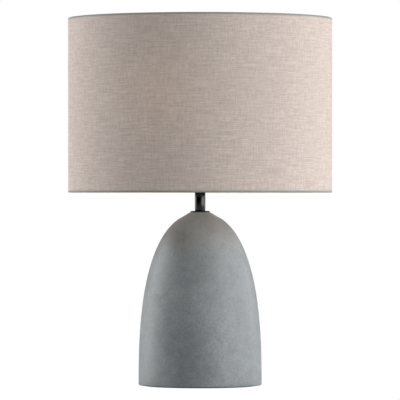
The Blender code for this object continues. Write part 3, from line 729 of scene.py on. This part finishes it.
def carrier():
    """The pressed fitter ring, the three arms with their welds, and the wire hoops inside the hems."""
    radius, low, high = extent("fitter_ring")
    bore = 0.0203
    middle = (low + high) / 2
    outline = [(bore, low), (radius, low), (radius, high), (bore, high)]
    add("fitter_disc", turned(outline, 128), "painted_steel", "shade", ["fitter_ring"], 0.0006)
    wire = 0.0018
    for name in ("bottom_hoop", "top_hoop"):
        radius, low, high = extent(name)
        section = arc((radius - wire, (low + high) / 2), wire * 0.98, 0, 345, 23)
        add(f"{name}_wire", turned(section, 180), "painted_steel", "shade", [name])
    hoop = extent("bottom_hoop")[0] - wire
    foot_height = extent("bottom_hoop")[2] + 0.0008
    corners = [
        Vector((hoop - 0.0006, 0, foot_height)),
        Vector((hoop - 0.0012, 0, foot_height + 0.0110)),
        Vector((0.0520, 0, middle)),
        Vector((0.0273, 0, middle)),
    ]
    for number, angle in enumerate(ARM_ANGLES, 1):
        turn = Matrix.Rotation(math.radians(angle), 3, "Z")
        path = rounded_path(corners, 0.0085)
        name = f"carrier_arm_{number}"
        shape = tube(path, 0.0015, 20)
        add(f"arm_wire_{number}", shape, "painted_steel", "shade", [name], 0.0, (0, 0, 0), turn)
        for place, spot in (("inner", corners[-1] + Vector((0.0008, 0, 0))), ("outer", corners[0])):
            bead = bmesh.new()
            bmesh.ops.create_icosphere(bead, subdivisions=3, radius=0.0019)
            for vert in bead.verts:
                vert.co *= 1.0 + 0.16 * noise.noise(vert.co * 900 + Vector((number, 0, 0)))
                vert.co.z *= 0.62 if place == "inner" else 0.40
            add(f"weld_{place}_{number}", bead, "painted_steel", "shade", (), 0.0, turn @ spot)


def drum():
    """The linen, rolled round both hoops and lapped at the back, and the white liner behind it."""
    radius, low, high = extent("shade_fabric")
    hem, depth, roll, edge, cloth = 0.0036, 0.0072, 0.0028, 0.0014, 0.0008

    def rolled(inset):
        """The lower edge from its lip round to the wall, as far in from the outside as inset."""
        inner = radius - depth
        points = [(inner + inset, hem), *arc((inner + roll, roll), roll - inset, 180, 270, 10)]
        return points + arc((radius - edge, edge), edge - inset, 270, 360, 8)

    def wall(at_radius, steps):
        return run((at_radius, hem + 0.001), (at_radius, high - low - hem - 0.001), steps)

    tall = high - low
    outside, inside = rolled(0), rolled(cloth)
    outline = outside + wall(radius, 40) + [(spot, tall - up) for spot, up in reversed(outside)]
    outline += [(spot, tall - up) for spot, up in inside] + wall(radius - cloth, 20)[::-1] + inside[::-1]
    outline = [(spot, low + up) for spot, up in outline]

    def hang(at_radius, height, angle):
        """The outer face waves by a hair, and steps where the strip's end laps over its start."""
        if at_radius < radius - 0.0004:
            return at_radius, height
        spot = Vector((math.cos(angle) * 2.2, math.sin(angle) * 2.2, height * 5))
        lift = 0.00022 * noise.noise(spot)
        past = (angle - SEAM) * radius
        if 0 <= past < LAP:
            lift += LAP_STEP
        elif LAP <= past < 2 * LAP:
            lift += LAP_STEP * (1 - (past - LAP) / LAP) ** 2
        return at_radius + lift, height

    angles = sorted([math.tau * step / 400 for step in range(400)] + [SEAM - 0.0002 / radius])
    cover = add("linen_cover", turned(outline, angles, hang), "linen", "shade", ["shade_fabric"])
    radius_in, low_in, high_in = extent("shade_liner")
    thickness = 0.0006
    outline = [(radius_in - thickness, low_in)]
    outline += run((radius_in, low_in), (radius_in, high_in), 12)
    outline += run((radius_in - thickness, high_in), (radius_in - thickness, low_in + 0.004), 12)
    add("liner_drum", turned(outline, 240), "liner", "shade", ["shade_liner"])


# --------------------------------------------------------------------- bulb


def bulb():
    radius, low, high = extent("bulb_screw_shell")
    outline = [(0.0105, low), (0.0119, low), (0.0123, low + 0.0006), (radius - 0.0002, low + 0.0012)]
    outline += run((radius, low + 0.0016), (radius, high - 0.0016), 72)
    outline += [(radius, high), (radius - 0.0005, high), (radius - 0.0005, high - 0.0012)]
    outline += [(0.01195, high - 0.0030), (0.01155, low + 0.0030), (0.0105, low + 0.0008)]
    change = thread(0.0036, 0.0008, low + 0.0010, high - 0.0016, radius)
    add("screw_cap", turned(outline, 96, change), "zinc_plate", "bulb", ["bulb_screw_shell"])

    radius, low, high = extent("bulb_housing")
    shell_top = extent("bulb_screw_shell")[2]
    shoulder = shell_top + 0.0006
    outline = [(0, low), (0.0112, low), (0.0112, shell_top - 0.0030), (0.0122, shell_top), (0.0122, shoulder)]
    outline += [(0.0146, shoulder), (0.0150, shoulder + 0.0005)]
    outline += [(0.0155, shoulder + 0.0040), (0.0163, shoulder + 0.0090), (0.0175, shoulder + 0.0150)]
    outline += [(0.0192, shoulder + 0.0215), (radius - 0.0003, high - 0.0008)]
    outline += [(radius, high), (radius - 0.0014, high)]
    outline += [(0.0178, shoulder + 0.0215), (0.0161, shoulder + 0.0150), (0.0149, shoulder + 0.0090)]
    outline += [(0.0138, shoulder + 0.0020), (0.0108, shoulder - 0.0010)]
    outline += [(0.0098, low + 0.0014), (0, low + 0.0014)]
    add("bulb_body", turned(outline, 128), "bulb_plastic", "bulb", ["bulb_housing"], 0.0003)

    radius, low, high = extent("bulb_diffuser")
    centre = high - radius
    wall = 0.0014
    start = -math.degrees(math.asin((centre - low) / radius))
    outside = arc((0, centre), radius, start, 90, 40)
    inside = arc((0, centre), radius - wall, 90, start, 40)
    outside[-1], inside[0] = (0, high), (0, high - wall)
    add("bulb_globe", turned(outside + inside, 128), "opal", "bulb", ["bulb_diffuser"])


casting()
foot()
grommet()
neck()
holder()
ring_nut()
carrier()
drum()
bulb()


# ------------------------------------------------------------------- studio


LAMP_MIDDLE = Vector((0, 0, 0.30))
LIGHT_DISTANCE = 2.2


def aim(obj, at):
    obj.rotation_euler = (Vector(at) - obj.location).to_track_quat("-Z", "Y").to_euler()


def softbox(name, azimuth, elevation, size, power):
    """A white rectangular light, aimed at the lamp. Azimuth 0 is the camera's side, 90 the right."""
    light = bpy.data.lights.new(name, "AREA")
    light.shape = "RECTANGLE"
    light.size, light.size_y = size
    light.energy = power
    obj = bpy.data.objects.new(name, light)
    bpy.context.collection.objects.link(obj)
    turn, rise = math.radians(azimuth), math.radians(elevation)
    away = Vector((math.sin(turn) * math.cos(rise), -math.cos(turn) * math.cos(rise), math.sin(rise)))
    obj.location = LAMP_MIDDLE + away * LIGHT_DISTANCE
    aim(obj, LAMP_MIDDLE)
    obj.visible_camera = False


def warm_glow():
    """A narrow warm light on the middle left of the shade."""
    glow = bpy.data.lights.new("warm_glow", "SPOT")
    glow.energy, glow.color, glow.shadow_soft_size = 17, (1.0, 0.62, 0.22), 0.05
    glow.spot_size, glow.spot_blend = math.radians(4.2), 1.0
    obj = bpy.data.objects.new("warm_glow", glow)
    bpy.context.collection.objects.link(obj)
    obj.location = (-0.60, -2.40, 0.445)
    aim(obj, (-0.062, -0.190, 0.440))


def studio():
    world = bpy.data.worlds.new("studio")
    world.use_nodes = True
    bpy.context.scene.world = world
    nodes, links = world.node_tree.nodes, world.node_tree.links
    backdrop = nodes["Background"]
    backdrop.inputs["Color"].default_value = (1.0, 1.0, 1.0, 1.0)
    rays = nodes.new("ShaderNodeLightPath")
    links.new(rays.outputs["Is Camera Ray"], backdrop.inputs["Strength"])

    shape = bmesh.new()
    bmesh.ops.create_grid(shape, x_segments=1, y_segments=1, size=12)
    mesh = bpy.data.meshes.new("floor")
    shape.to_mesh(mesh)
    shape.free()
    floor = bpy.data.objects.new("floor", mesh)
    bpy.context.collection.objects.link(floor)
    floor.location.z = -0.0002
    pale = Finish("pale_floor", (0.80, 0.80, 0.80), 0.9, Specular_IOR_Level=0.0)
    seen = pale.node("LightPath", {}).outputs["Is Camera Ray"]
    pale.set("Base Color", pale.mix(seen, (0.80, 0.80, 0.80), (0.0, 0.0, 0.0)))
    pale.set("Emission Color", (1.0, 1.0, 1.0))
    pale.set("Emission Strength", seen)
    mesh.materials.append(pale.material)

    softbox("right_front", 30, 0, (0.6, 2.0), 13)
    softbox("right_panel", 67, 0, (1.2, 2.0), 48)
    softbox("right_rim", 120, 0, (0.6, 2.0), 24)
    softbox("left_panel", -112, 0, (1.0, 2.0), 38)
    softbox("left_high", -90, 30, (1.0, 0.7), 9)
    softbox("top_left", -60, 60, (1.2, 1.2), 13)
    softbox("top_back", 180, 30, (1.0, 0.7), 41)
    warm_glow()


def camera():
    lens = bpy.data.cameras.new("camera")
    lens.lens = 354.5
    lens.sensor_width = 36.0
    lens.clip_end = 60.0
    eye = bpy.data.objects.new("camera", lens)
    bpy.context.collection.objects.link(eye)
    eye.location = (-0.0002, -5.970, 0.2815)
    eye.rotation_euler = (math.pi / 2, 0, 0)
    bpy.context.scene.camera = eye


studio()
camera()
bpy.context.scene.view_settings.view_transform = "Standard"
